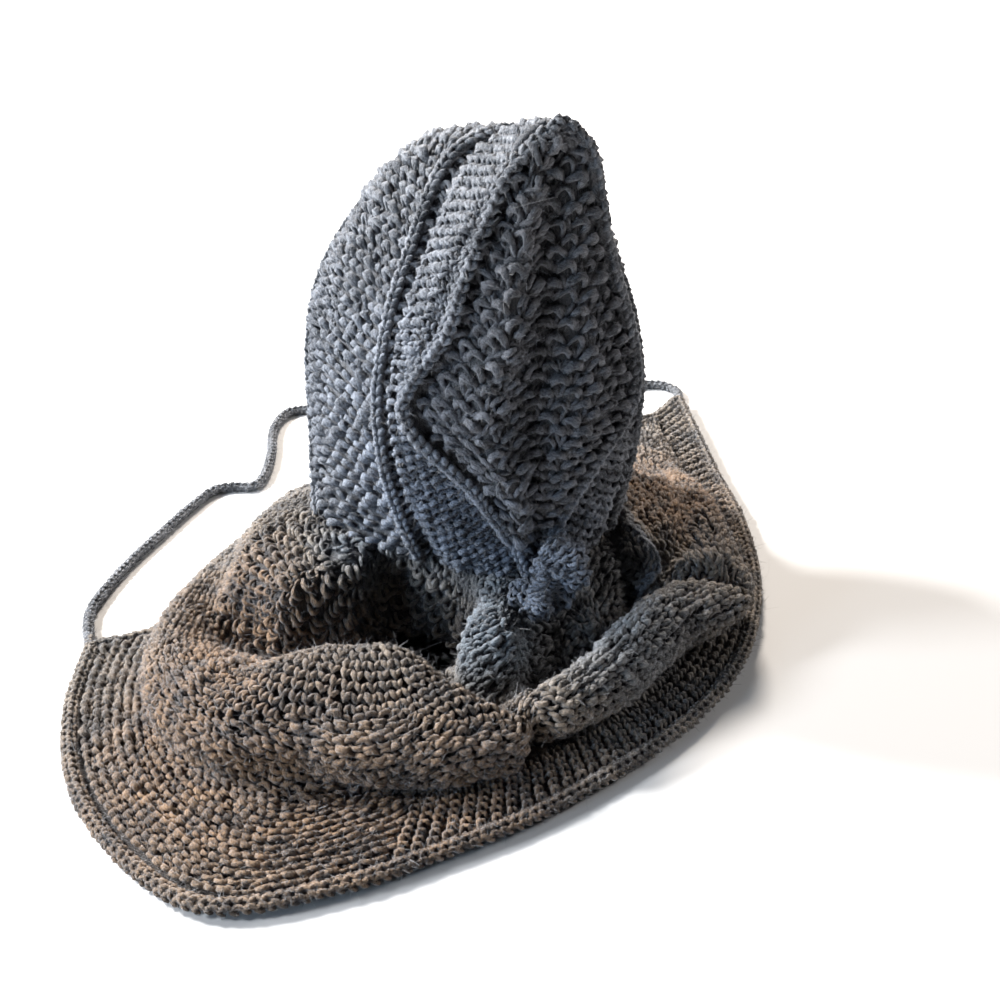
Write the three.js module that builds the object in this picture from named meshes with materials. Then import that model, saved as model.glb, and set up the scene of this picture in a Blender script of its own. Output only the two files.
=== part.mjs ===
// Hooded scarf in chunky charcoal wool: a pointed hood with a leaf-shaped back gusset,
// a short gathered cape with a ribbed hem, i-cord borders and two front ties.
// Millimetres, +Z up, the wearer faces +Y. Heights in the tables are counted from the
// surface that the cape lies on, and the whole garment is then moved so that the origin
// is the place inside the crown where the head carries the hood.

import * as THREE from "three";

// Driving dimensions

const KNIT = 6; // thickness of the knitted wall
const BAND_GAP = 1.9; // half the clearance where the band meets the body of the cape
const KNIT_EDGE = 3; // the wall thins to this at its edges
const GAP = 0.9; // clearance between neighbouring pieces
const BEAD_SIDES = 7; // sides of a ridge or a border
const CORD_END = 0.013; // share of a hoop left free at each end of its ridge
const RIDGE_RADIUS = 4.2; // slipped-stitch ridges between the panels
const BORDER_RADIUS = 4.6; // i-cord borders of the hood and of the cape
const RIBS = 92; // ribs of the hem band
const RIB_HEIGHT = 0.9; // crest of a rib above the middle of the band
const TIE_DIAMETER = 6.4;
const TIE_HEIGHT = TIE_DIAMETER / 2 + 0.2; // middle of a tie that lies on the surface
const NECK_GAP = 4.6; // between the hood's lower edge and the cape
const NECK_HEIGHT = 62; // neckline of the hood above the surface
const PEAK_HEIGHT = 378;
const SEAT_HEIGHT = 330; // inside of the crown, over the middle of the neck, above the surface

const CHARCOAL = 0x4a4d55;
const CHARCOAL_DEEP = 0x3b3e46;
const CHARCOAL_WARM = 0x4b463f;

// Hood hoops, from the face edge to the rim of the back gusset. Each hoop rises from the
// neckline (base) past its widest place (wide) over the crown (top); left mirrors right.
const HOOPS = [
  {
    name: "face_edge", baseX: 108, baseY: 25, baseZ: 66, wideX: 102, wideY: 66, wideZ: 150,
    topY: 74, topZ: 292, power: 2.35, tuck: 1, shift: -20,
  },
  {
    name: "moss_middle", baseX: 95, baseY: -5, baseZ: 67, wideX: 101, wideY: 12, wideZ: 165,
    topY: 35, topZ: 324, power: 2.15, tuck: 1, shift: -15,
  },
  {
    name: "seam", baseX: 64, baseY: -50, baseZ: 69, wideX: 83, wideY: -70, wideZ: 190,
    topY: -25, topZ: 345, power: 1.75, tuck: 1, shift: -5,
  },
  {
    name: "wedge_middle", baseX: 36, baseY: -76, baseZ: 67, wideX: 76, wideY: -84, wideZ: 195,
    topY: -68, topZ: 363, power: 1.58, tuck: 1.15, shift: -2,
  },
  {
    name: "gusset_rim", baseX: 5.4, baseY: -86, baseZ: 65, wideX: 71, wideY: -92, wideZ: 200,
    topY: -106, topZ: 375, power: 1.54, tuck: 1.75, shift: 0,
  },
];
const HOOD_COLUMNS = 38; // faces along a hoop
const SWAY = -14; // sideways shift of the hood halfway up, towards the wearer's left
const LEAN = 4; // sideways shift of its peak
const GUSSET_BULGE = 34; // how far the gusset stands out behind its rim
const GUSSET_START = 0.105; // share of the rim below the gusset's lower tip
const GUSSET_END = 0.075; // and above its upper end

// Cape sections, from the left front edge round the back to the right front edge. Angles are
// in degrees from straight back, positive to the wearer's right. Each section runs from the
// neckline over a shoulder fold, a valley and the main crest, rolls over a brow into a tuck,
// and ends in the ribbed band and the hem: r is measured from the middle of the neck, z is height.
const CAPE = [
  {
    neck: -140, hemAt: -88, shoulder: [160, 48], valley: [184, 34], crest: [208, 26],
    brow: [226, 20], tuck: [238, 14], band: [250, 10], hem: [292, 8],
  },
  {
    neck: -118, hemAt: -76, shoulder: [168, 60], valley: [200, 30], crest: [232, 36],
    brow: [252, 26], tuck: [262, 14], band: [276, 9], hem: [318, 8],
  },
  {
    neck: -98, hemAt: -63, shoulder: [176, 60], valley: [200, 21], crest: [255, 48],
    brow: [280, 34], tuck: [282, 13], band: [304, 9], hem: [346, 8],
  },
  {
    neck: -80, hemAt: -51, shoulder: [150, 57], valley: [166, 16], crest: [248, 58],
    brow: [284, 40], tuck: [284, 13], band: [318, 9], hem: [364, 8],
  },
  {
    neck: -62, hemAt: -41, shoulder: [98, 23], valley: [140, 11], crest: [214, 66],
    brow: [266, 46], tuck: [266, 12], band: [318, 9], hem: [368, 8],
  },
  {
    neck: -46, hemAt: -31, shoulder: [94, 26], valley: [128, 11], crest: [194, 65],
    brow: [242, 46], tuck: [240, 11], band: [282, 9], hem: [326, 8],
  },
  {
    neck: -32, hemAt: -22, shoulder: [104, 34], valley: [150, 14], crest: [204, 54],
    brow: [232, 42], tuck: [230, 11], band: [250, 9], hem: [288, 8],
  },
  {
    neck: -20, hemAt: -13, shoulder: [137, 51], valley: [166, 14], crest: [200, 48],
    brow: [220, 38], tuck: [212, 10], band: [226, 9], hem: [261, 8],
  },
  {
    neck: -8, hemAt: -3, shoulder: [112, 40], valley: [152, 18], crest: [190, 52],
    brow: [206, 40], tuck: [196, 10], band: [203, 9], hem: [236, 8],
  },
  {
    neck: 8, hemAt: 12, shoulder: [104, 44], valley: [136, 28], crest: [166, 60],
    brow: [188, 44], tuck: [176, 10], band: [184, 9], hem: [212, 8],
  },
  {
    neck: 28, hemAt: 30, shoulder: [99, 58], valley: [120, 36], crest: [146, 58],
    brow: [168, 42], tuck: [154, 11], band: [162, 9], hem: [195, 8],
  },
  {
    neck: 50, hemAt: 50, shoulder: [105, 64], valley: [124, 44], crest: [152, 56],
    brow: [182, 40], tuck: [156, 14], band: [164, 11], hem: [184, 10],
  },
  {
    neck: 74, hemAt: 75, shoulder: [114, 62], valley: [130, 56], crest: [148, 62],
    brow: [160, 36], tuck: [158, 14], band: [164, 10], hem: [182, 8],
  },
  {
    neck: 98, hemAt: 100, shoulder: [122, 60], valley: [140, 50], crest: [158, 46],
    brow: [170, 30], tuck: [174, 14], band: [180, 10], hem: [200, 8],
  },
  {
    neck: 120, hemAt: 119, shoulder: [134, 50], valley: [154, 38], crest: [176, 32],
    brow: [190, 22], tuck: [200, 14], band: [208, 10], hem: [236, 8],
  },
  {
    neck: 140, hemAt: 137, shoulder: [150, 44], valley: [185, 34], crest: [220, 28],
    brow: [250, 22], tuck: [270, 16], band: [287, 12], hem: [328, 9],
  },
];
const CAPE_KNOTS = ["neckline", "shoulder", "valley", "crest", "brow", "tuck", "band", "hem"];
const CAPE_TURN = 2.5; // how soon a section turns from its neck angle to its hem angle
const FRONT_STEPS = 15; // faces along a front edge of the cape
const THROAT = [ // front of the neckline between the face edges
  { angle: 120, r: 118, z: 62 },
  { angle: 145, r: 112, z: 62 },
];

// Small helpers

const clamp = (value, low, high) => Math.min(high, Math.max(low, value));
const mix = (a, b, k) => a + (b - a) * k;
const toRadians = (degrees) => (degrees * Math.PI) / 180;
const toDegrees = (radians) => (radians * 180) / Math.PI;

// Smooth curve through evenly spaced values, flat-ended.
function spline(values, position) {
  const last = values.length - 1;
  const p = clamp(position, 0, last);
  const i = Math.min(Math.floor(p), last - 1);
  const k = p - i;
  const a = values[Math.max(i - 1, 0)];
  const b = values[i];
  const c = values[i + 1];
  const d = values[Math.min(i + 2, last)];
  const square = 2 * a - 5 * b + 4 * c - d;
  const cube = 3 * b - a - 3 * c + d;
  return 0.5 * (2 * b + (c - a) * k + square * k * k + cube * k ** 3);
}

function splinePoint(points, position) {
  return new THREE.Vector3(
    spline(points.map((p) => p.x), position),
    spline(points.map((p) => p.y), position),
    spline(points.map((p) => p.z), position),
  );
}

// Hood surface

// One side of a hoop as a fine polyline, from the neckline to the crown.
function hoopSide(hoop) {
  const { baseX, baseY, baseZ, wideX, wideY, wideZ, topY, topZ, power, tuck } = hoop;
  const depthAt = (z) => {
    const low = ((z - wideZ) * (z - topZ)) / ((baseZ - wideZ) * (baseZ - topZ));
    const middle = ((z - baseZ) * (z - topZ)) / ((wideZ - baseZ) * (wideZ - topZ));
    const high = ((z - baseZ) * (z - wideZ)) / ((topZ - baseZ) * (topZ - wideZ));
    return baseY * low + wideY * middle + topY * high;
  };
  const points = [];
  const steps = 60;
  for (let i = 0; i < steps; i++) {
    const k = i / steps;
    const z = mix(baseZ, wideZ, k);
    const x = mix(baseX, wideX, Math.sin((k ** tuck * Math.PI) / 2));
    points.push(new THREE.Vector3(x, depthAt(z), z));
  }
  for (let i = 0; i <= steps; i++) {
    const turn = ((i / steps) * Math.PI) / 2;
    const z = mix(wideZ, topZ, Math.sin(turn) ** (2 / power));
    const x = wideX * Math.max(Math.cos(turn), 0) ** (2 / power);
    points.push(new THREE.Vector3(x, depthAt(z), z));
  }
  return points;
}

// The hoop by arc length: v runs from -1 (left base) over 0 (crown) to 1 (right base).
function hoopCurve(hoop) {
  const side = hoopSide(hoop);
  const lengths = [0];
  for (let i = 1; i < side.length; i++) {
    lengths.push(lengths[i - 1] + side[i].distanceTo(side[i - 1]));
  }
  const total = lengths[lengths.length - 1];
  return (v) => {
    const wanted = (1 - Math.abs(v)) * total;
    let i = 1;
    while (i < lengths.length - 1 && lengths[i] < wanted) i++;
    const k = clamp((wanted - lengths[i - 1]) / (lengths[i] - lengths[i - 1]), 0, 1);
    const point = side[i - 1].clone().lerp(side[i], k);
    if (v < 0) point.x = -point.x;
    return point;
  };
}

const hoopCurves = HOOPS.map(hoopCurve);

function hoodPoint(u, v) {
  const point = splinePoint(hoopCurves.map((curve) => curve(v)), u);
  const h = (point.z - NECK_HEIGHT) / (PEAK_HEIGHT - NECK_HEIGHT);
  const base = spline(HOOPS.map((hoop) => hoop.shift), u);
  point.x += base * (1 - h) * (1 - 2 * h) + SWAY * 4 * h * (1 - h) + LEAN * h * (2 * h - 1);
  return point;
}

// Change of a parameter that moves a point on a curve by a distance.
function travel(curve, start, distance) {
  const from = curve(start);
  let step = Math.sign(distance) * 0.1;
  for (let i = 0; i < 4; i++) step *= Math.abs(distance) / curve(start + step).distanceTo(from);
  return start + step;
}

// Sine of the angle between two directions.
const sineBetween = (a, b) => Math.sin(a.angleTo(b));

// Parameter a of surface(a, b) at a square distance from the edge line where a = edge.
function clearOf(surface, edge, b, distance) {
  const away = surface(edge + Math.sign(distance) * 0.1, b).sub(surface(edge, b));
  const edgeLine = surface(edge, b + 0.02).sub(surface(edge, b - 0.02));
  return travel((a) => surface(a, b), edge, distance / sineBetween(away, edgeLine));
}

// Back gusset: bands between the two sides of its rim, bulging backwards.
function gussetPoint(across, up) {
  const v = -mix(1 - GUSSET_START, GUSSET_END, up);
  const left = hoodPoint(4, v);
  const right = hoodPoint(4, -v);
  const half = (right.x - left.x) / 2;
  const swell = GUSSET_BULGE * Math.sin(Math.PI * up ** 0.8) ** 0.8;
  const rimLine = hoodPoint(4, v + 0.01).sub(hoodPoint(4, v - 0.01));
  const edgeSlope = new THREE.Vector3(-half, 2 * swell, 0);
  const margin = (RIDGE_RADIUS + GAP) / (edgeSlope.length() * sineBetween(edgeSlope, rimLine));
  const w = across * (1 - margin);
  return new THREE.Vector3((left.x + right.x) / 2 + half * w, left.y - swell * (1 - w * w), left.z);
}

// Solids

function geometryFrom(points, index) {
  const geometry = new THREE.BufferGeometry();
  const numbers = points.flatMap((p) => p.toArray());
  geometry.setAttribute("position", new THREE.Float32BufferAttribute(numbers, 3));
  geometry.setIndex(index);
  geometry.computeVertexNormals();
  return geometry;
}

// Closed wall from a surface: an outer grid, an inner grid one thickness behind it, and the rims.
function wallGeometry(surface, columns, rows, inward) {
  const outer = [];
  const inner = [];
  for (let i = 0; i <= columns; i++) {
    for (let j = 0; j <= rows; j++) {
      outer.push(surface(i / columns, j / rows));
    }
  }
  const at = (i, j) => i * (rows + 1) + j;
  const normalAt = (i, j) => {
    const along = outer[at(Math.min(i + 1, columns), j)].clone().sub(outer[at(Math.max(i - 1, 0), j)]);
    const across = outer[at(i, Math.min(j + 1, rows))].clone().sub(outer[at(i, Math.max(j - 1, 0))]);
    return along.cross(across).normalize();
  };
  for (let i = 0; i <= columns; i++) {
    for (let j = 0; j <= rows; j++) {
      const atEdge = i === 0 || i === columns || j === 0 || j === rows;
      const thickness = atEdge ? KNIT_EDGE : KNIT;
      inner.push(outer[at(i, j)].clone().addScaledVector(normalAt(i, j), inward * thickness));
    }
  }
  const index = [];
  const shift = outer.length;
  const quad = (a, b, c, d) => {
    if (inward > 0) index.push(a, c, b, a, d, c);
    else index.push(a, b, c, a, c, d);
  };
  for (let i = 0; i < columns; i++) {
    for (let j = 0; j < rows; j++) {
      quad(at(i, j), at(i + 1, j), at(i + 1, j + 1), at(i, j + 1));
      quad(shift + at(i, j), shift + at(i, j + 1), shift + at(i + 1, j + 1), shift + at(i + 1, j));
    }
  }
  for (let i = 0; i < columns; i++) {
    quad(at(i, 0), shift + at(i, 0), shift + at(i + 1, 0), at(i + 1, 0));
    quad(at(i, rows), at(i + 1, rows), shift + at(i + 1, rows), shift + at(i, rows));
  }
  for (let j = 0; j < rows; j++) {
    quad(at(0, j), at(0, j + 1), shift + at(0, j + 1), shift + at(0, j));
    quad(at(columns, j), shift + at(columns, j), shift + at(columns, j + 1), at(columns, j + 1));
  }
  return geometryFrom([...outer, ...inner], index);
}

// Closed body through rings of points, with a middle point at each end.
function loftGeometry(rings, first, last) {
  const sides = rings[0].length;
  const points = [...rings.flat(), first, last];
  const at = (i, k) => i * sides + (k % sides);
  const start = rings.length * sides;
  const index = [];
  for (let k = 0; k < sides; k++) {
    for (let i = 0; i < rings.length - 1; i++) {
      index.push(at(i, k), at(i, k + 1), at(i + 1, k + 1), at(i, k), at(i + 1, k + 1), at(i + 1, k));
    }
    index.push(start, at(0, k + 1), at(0, k));
    index.push(start + 1, at(rings.length - 1, k), at(rings.length - 1, k + 1));
  }
  return geometryFrom(points, index);
}

// Closed round bead with one ring of points at each point of its path.
function beadGeometry(points, radius) {
  const last = points.length - 1;
  const side = new THREE.Vector3(0.3, 0.5, 0.8);
  const rings = points.map((point, i) => {
    const along = points[Math.min(i + 1, last)].clone().sub(points[Math.max(i - 1, 0)]).normalize();
    side.addScaledVector(along, -side.dot(along)).normalize();
    const out = new THREE.Vector3().crossVectors(along, side);
    return Array.from({ length: BEAD_SIDES }, (_, k) => {
      const turn = (2 * Math.PI * k) / BEAD_SIDES;
      return point
        .clone()
        .addScaledVector(side, radius * Math.cos(turn))
        .addScaledVector(out, radius * Math.sin(turn));
    });
  });
  return loftGeometry(rings, points[0], points[last]);
}

// Closed round cord through a list of points.
function cordGeometry(points, radius, sides, steps) {
  const path = new THREE.CatmullRomCurve3(points, false, "centripetal");
  const section = new THREE.Shape(
    Array.from({ length: sides }, (_, i) => {
      const turn = (2 * Math.PI * i) / sides;
      return new THREE.Vector2(radius * Math.cos(turn), radius * Math.sin(turn));
    }),
  );
  return new THREE.ExtrudeGeometry(section, { steps, extrudePath: path, bevelEnabled: false });
}

// Cape surface

// Neckline as a list of angle, radius and height round the middle of the neck, taken from the
// hood's lower edge as far as the wedge, and from the throat in front.
const NECKLINE_END = 3.6; // hoop position
const NECKLINE_STEP = 0.2;

function necklineTable() {
  const rows = [];
  for (const side of [-1, 1]) {
    for (let u = 0; u <= NECKLINE_END; u += NECKLINE_STEP) {
      const p = hoodPoint(u, side);
      const angle = toDegrees(Math.atan2(p.x, -p.y));
      rows.push({ angle, r: Math.hypot(p.x, p.y), z: p.z });
    }
    for (const row of THROAT) rows.push({ ...row, angle: side * row.angle });
  }
  return rows.sort((a, b) => a.angle - b.angle);
}
const neckline = necklineTable();

function necklineAt(angle) {
  let i = 1;
  while (i < neckline.length - 1 && neckline[i].angle < angle) i++;
  const a = neckline[i - 1];
  const b = neckline[i];
  const k = clamp((angle - a.angle) / (b.angle - a.angle), 0, 1);
  return [mix(a.r, b.r, k), mix(a.z, b.z, k) - NECK_GAP];
}

const capeRows = CAPE.map((row) => {
  const knots = [necklineAt(row.neck), ...CAPE_KNOTS.slice(1).map((knot) => row[knot])];
  return knots.map(([r, z], k) => {
    const turn = 1 - (1 - k / (knots.length - 1)) ** CAPE_TURN;
    const angle = toRadians(mix(row.neck, row.hemAt, turn));
    return new THREE.Vector3(r * Math.sin(angle), -r * Math.cos(angle), z);
  });
});
const CAPE_LAST = CAPE.length - 1;
const BAND = CAPE_KNOTS.indexOf("band");
const HEM = CAPE_KNOTS.indexOf("hem");
const capePoint = (u, t) => splinePoint(capeRows.map((row) => splinePoint(row, t)), u);

// Cape position u kept a distance off the left and right front edges.
function insideFront(u, t, distance) {
  const left = clearOf(capePoint, 0, t, distance);
  const right = clearOf(capePoint, CAPE_LAST, t, -distance);
  return mix(left, right, u / CAPE_LAST);
}

const alongSection = (u, t, distance) => clearOf((a, b) => capePoint(b, a), t, u, distance);

// Pieces of the garment

const garment = new THREE.Group();
garment.position.set(0, 0, -SEAT_HEIGHT);

function add(name, geometry, color) {
  const material = new THREE.MeshStandardMaterial({ color, roughness: 0.95, metalness: 0 });
  const mesh = new THREE.Mesh(geometry, material);
  mesh.name = name;
  garment.add(mesh);
}

// Hood panels

function hoodPanel(from, to, rows) {
  const margin = RIDGE_RADIUS + GAP;
  return wallGeometry((s, t) => {
    const v = mix(-1, 1, s);
    const start = clearOf(hoodPoint, from, v, margin);
    const end = clearOf(hoodPoint, to, v, -margin);
    return hoodPoint(mix(start, end, t), v);
  }, HOOD_COLUMNS, rows, 1);
}

function hoodCord(i, radius) {
  const points = [];
  for (let k = 0; k <= HOOD_COLUMNS; k++) {
    const v = mix(-1, 1, k / HOOD_COLUMNS);
    points.push(hoodPoint(i, clamp(v, CORD_END - 1, 1 - CORD_END)));
  }
  return beadGeometry(points, radius);
}

add("hood_face_border", hoodCord(0, BORDER_RADIUS), CHARCOAL);
add("hood_moss_band", hoodPanel(0, 2, 7), CHARCOAL);
add("hood_seam_ridge", hoodCord(2, RIDGE_RADIUS), CHARCOAL);
add("hood_wedge_panel", hoodPanel(2, 4, 4), CHARCOAL);
add("hood_gusset_ridge", hoodCord(4, RIDGE_RADIUS), CHARCOAL);
add("hood_back_gusset", wallGeometry((s, t) => gussetPoint(mix(-1, 1, s), t), 10, 16, -1), CHARCOAL_DEEP);

// Cape pieces

function capePanel(columns, rows, start, end, ribHeight) {
  return wallGeometry((s, t) => {
    const u = mix(0, CAPE_LAST, s);
    const knot = mix(start(u), end(u), t);
    const point = capePoint(insideFront(u, knot, BORDER_RADIUS + GAP), knot);
    point.z += ribHeight * Math.cos(Math.PI * s * columns);
    return point;
  }, columns, rows, -1);
}

function capeBorder() {
  const points = [];
  const sunk = (u, t) => {
    const p = capePoint(u, t);
    p.z -= KNIT / 4;
    return p;
  };
  for (let k = 1; k < FRONT_STEPS; k++) points.push(sunk(0, (HEM * k) / FRONT_STEPS));
  for (let k = 0; k <= RIBS; k++) points.push(sunk((CAPE_LAST * k) / RIBS, HEM));
  for (let k = FRONT_STEPS - 1; k > 0; k--) points.push(sunk(CAPE_LAST, (HEM * k) / FRONT_STEPS));
  return beadGeometry(points, BORDER_RADIUS);
}

const bodyEnd = (u) => alongSection(u, BAND, -BAND_GAP);
const bandStart = (u) => alongSection(u, BAND, BAND_GAP);
const bandEnd = (u) => alongSection(u, HEM, -BORDER_RADIUS - GAP);
add("cape_body", capePanel(48, 18, () => 0, bodyEnd, 0), CHARCOAL_WARM);
add("cape_rib_band", capePanel(2 * RIBS, 1, bandStart, bandEnd, RIB_HEIGHT), CHARCOAL_WARM);
add("cape_edge_border", capeBorder(), CHARCOAL);

// Nape gather: fabric bunched under the tip of the gusset, as a row of rounded sections

const NAPE = [
  { x: 3, y: -102, z: 100, wide: 7, deep: 6 },
  { x: 8, y: -107, z: 94, wide: 13, deep: 11 },
  { x: 11, y: -109, z: 84, wide: 16, deep: 14 },
  { x: 5, y: -112, z: 73, wide: 14, deep: 12 },
  { x: -7, y: -116, z: 65, wide: 14, deep: 11 },
  { x: -16, y: -120, z: 60, wide: 8, deep: 6 },
];

function napeGeometry(sides, steps) {
  const column = (key) => NAPE.map((row) => row[key]);
  const middles = NAPE.map(({ x, y, z }) => new THREE.Vector3(x, y, z));
  const center = (p) => splinePoint(middles, p);
  const last = NAPE.length - 1;
  const rings = [];
  for (let i = 0; i <= steps; i++) {
    const p = (last * i) / steps;
    const along = center(Math.min(p + 0.05, last)).sub(center(Math.max(p - 0.05, 0))).normalize();
    const side = new THREE.Vector3(1, 0, 0).addScaledVector(along, -along.x).normalize();
    const out = new THREE.Vector3().crossVectors(along, side);
    rings.push(Array.from({ length: sides }, (_, k) => {
      const turn = (2 * Math.PI * k) / sides;
      return center(p)
        .addScaledVector(side, spline(column("wide"), p) * Math.cos(turn))
        .addScaledVector(out, spline(column("deep"), p) * Math.sin(turn));
    }));
  }
  return loftGeometry(rings, center(0), center(last));
}

add("nape_gather", napeGeometry(12, 12), CHARCOAL);

// Ties, laid on the surface from the front corners of the cape; plan positions
const LEFT_TIE = [
  [-293, -5], [-291, 40], [-266, 90], [-232, 138], [-203, 176], [-186, 193],
  [-171, 194], [-157, 191], [-147, 202], [-139, 224], [-133, 248], [-129, 272],
  [-123, 293], [-112, 311], [-97, 316], [-80, 310],
];
const RIGHT_TIE = [
  [225.5, 245.2], [232, 262], [228, 276], [217, 284], [203, 286], [184, 284], [160, 278],
  [134, 270], [106, 264], [78, 262], [50, 264], [22, 266], [-4, 262], [-26, 250],
  [-42, 232], [-50, 212], [-48, 190], [-40, 168], [-24, 152],
];
const layTie = (route) => route.map(([x, y]) => new THREE.Vector3(x, y, TIE_HEIGHT));

add("tie_left", cordGeometry(layTie(LEFT_TIE), TIE_DIAMETER / 2, 8, 30), CHARCOAL);
add("tie_right", cordGeometry(layTie(RIGHT_TIE), TIE_DIAMETER / 2, 8, 30), CHARCOAL);

const group = new THREE.Group();
group.add(garment);
export default group;
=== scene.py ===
"""Looks of the hooded scarf: knitted surfaces, wool, ties, stray fibres, light and camera.

Shapes are worked out in millimetres, with height counted from the surface that the cape lies on.
place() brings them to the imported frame, in metres.
"""
import math

import bpy
import numpy as np
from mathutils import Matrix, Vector


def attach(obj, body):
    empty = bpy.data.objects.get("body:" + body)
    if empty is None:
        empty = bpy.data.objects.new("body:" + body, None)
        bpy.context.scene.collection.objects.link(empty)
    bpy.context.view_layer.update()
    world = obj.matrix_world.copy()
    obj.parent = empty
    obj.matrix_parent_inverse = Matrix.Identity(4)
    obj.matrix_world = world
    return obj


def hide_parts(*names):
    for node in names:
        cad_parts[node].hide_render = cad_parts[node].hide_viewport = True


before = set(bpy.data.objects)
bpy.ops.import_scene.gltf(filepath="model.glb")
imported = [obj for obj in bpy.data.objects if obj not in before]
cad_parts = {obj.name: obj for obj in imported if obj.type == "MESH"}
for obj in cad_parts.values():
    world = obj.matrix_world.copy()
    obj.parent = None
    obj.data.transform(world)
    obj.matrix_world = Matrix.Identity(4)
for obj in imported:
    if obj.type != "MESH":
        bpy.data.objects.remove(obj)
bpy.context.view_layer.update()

SEAT = np.array([0.0, 0.0, 330.0])  # the origin above the resting surface
MM = 0.001
rng = np.random.default_rng(41)


def place(points):
    """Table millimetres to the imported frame."""
    return (np.asarray(points, float) - SEAT) * MM


# Camera

CAMERA = (-260.07, -961.99, 649.40)
TARGET = (-2.30, 0.0, 74.40)
LENS = 58.8

camera_data = bpy.data.cameras.new("camera")
camera_data.lens = LENS
camera_data.sensor_width = 36
camera = bpy.data.objects.new("camera", camera_data)
camera.location = Vector(place(CAMERA))
camera.rotation_euler = (Vector(place(TARGET)) - camera.location).to_track_quat("-Z", "Y").to_euler()
bpy.context.scene.collection.objects.link(camera)
bpy.context.scene.camera = camera

# Sizes of the knitting, millimetres

RIDGE_RADIUS = 4.2
BORDER_RADIUS = 4.6
TIE_DIAMETER = 6.4
TIE_RADIUS = TIE_DIAMETER / 2 + 0.2  # over its stitches
TIE_HEIGHT = TIE_RADIUS
WALL, WALL_EDGE = 4.5, 2.7
REST = 0.3  # least height of yarn above the resting surface
ROUND = 4  # sides of a strand of yarn
TWO_CHAINS, FOUR_CHAINS = (-0.65, 0.65), (-1.8, -0.6, 0.6, 1.8)  # angles round a ridge
UPWARD = np.array([0.0, 0.0, 1.0])

# Width and height of a stitch
BAND_STITCH = (7.2, 7.4)
WEDGE_STITCH = (6.8, 8.8)
LEAF_STITCH, LEAF_PLACE = (8.2, 9.6), (7.4, 8.8)  # larger than their places
CAPE_STITCH = (7.6, 7.4)
NAPE_STITCH = (6.4, 5.6)
RIB_PITCH, RIB_HEIGHT = 10.8, 6.4

NECK_HEIGHT, PEAK_HEIGHT, NECK_GAP = 62, 378, 0.5
SWAY, LEAN = -14, 4
GUSSET_BULGE, GUSSET_START, GUSSET_END = 34, 0.105, 0.075
RIM_TIP, RIM_PEAK = 0.992, 0.015  # ends of the leaf's rim, as v
CROWN_RISE, CROWN_AT, CROWN_REACH = 10.0, -0.12, 0.11  # the band stands higher left of the crown
WAIST_DEPTH, WAIST_HEIGHT, WAIST_REACH = 9.0, 298, 55  # the right side is drawn in near the peak
CAPE_TURN = 2.5

# base x y z, wide x y z, top y z, power, tuck, shift
HOOPS = (
    (108, 25, 66, 102, 66, 150, 74, 292, 2.35, 1, -20),
    (95, -5, 67, 101, 12, 165, 35, 324, 2.15, 1, -15),
    (64, -50, 69, 83, -70, 190, -25, 345, 1.75, 1, -5),
    (36, -76, 67, 76, -84, 195, -68, 363, 1.58, 1.15, -2),
    (5.4, -86, 65, 71, -92, 200, -106, 375, 1.54, 1.75, 0),
)

# neck angle, hem angle, then radius and height of shoulder, valley, crest, brow, tuck, band, hem
CAPE = (
    (-140, -88, 160, 50, 184, 34, 208, 26, 226, 20, 238, 14, 250, 10, 292, 8),
    (-118, -76, 168, 60, 200, 30, 232, 36, 252, 26, 262, 14, 276, 9, 318, 8),
    (-98, -63, 176, 60, 200, 21, 255, 48, 280, 34, 282, 13, 304, 9, 346, 8),
    (-80, -51, 150, 57, 166, 16, 248, 58, 284, 40, 284, 13, 318, 9, 364, 8),
    (-62, -41, 98, 23, 140, 11, 214, 66, 266, 46, 266, 12, 318, 9, 368, 8),
    (-46, -31, 94, 26, 128, 11, 194, 65, 242, 46, 240, 11, 282, 9, 326, 8),
    (-32, -22, 104, 34, 150, 14, 204, 54, 232, 42, 230, 11, 250, 9, 288, 8),
    (-20, -13, 137, 51, 166, 14, 200, 48, 220, 38, 212, 10, 226, 9, 261, 8),
    (-8, -3, 112, 40, 152, 18, 190, 52, 206, 40, 196, 10, 203, 9, 236, 8),
    (8, 12, 104, 44, 136, 28, 166, 60, 188, 44, 176, 10, 184, 9, 212, 8),
    (28, 30, 99, 58, 120, 36, 146, 58, 168, 42, 154, 11, 162, 9, 195, 8),
    (50, 50, 105, 64, 124, 44, 152, 56, 182, 40, 156, 14, 164, 11, 184, 10),
    (74, 75, 114, 62, 130, 56, 148, 62, 160, 36, 158, 14, 164, 10, 182, 8),
    (98, 100, 122, 60, 140, 50, 158, 46, 170, 30, 174, 14, 180, 10, 200, 8),
    (120, 119, 134, 50, 154, 38, 176, 32, 190, 22, 200, 14, 208, 10, 236, 8),
    (140, 137, 150, 44, 185, 34, 220, 28, 250, 22, 270, 16, 287, 12, 328, 9),
)
THROAT = ((120, 118, 62), (145, 112, 62))  # angle, radius, height
BAND, HEM, CAPE_LAST = 6, 7, len(CAPE) - 1

# Routes of the ties in plan from the cape's corners, x and y
LEFT_TIE = (
    (-293, -5), (-291, 40), (-266, 90), (-232, 138), (-203, 176), (-186, 193),
    (-171, 194), (-157, 191), (-147, 202), (-139, 224), (-133, 248), (-129, 272),
    (-123, 293), (-112, 311), (-97, 316), (-80, 310),
)
RIGHT_TIE = (
    (225.5, 245.2), (232, 262), (228, 276), (217, 284), (203, 286), (184, 284), (160, 278),
    (134, 270), (106, 264), (78, 262), (50, 264), (22, 266), (-4, 262), (-26, 250),
    (-42, 232), (-50, 212), (-48, 190), (-40, 168), (-24, 152),
)

# Curves and surfaces


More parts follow.
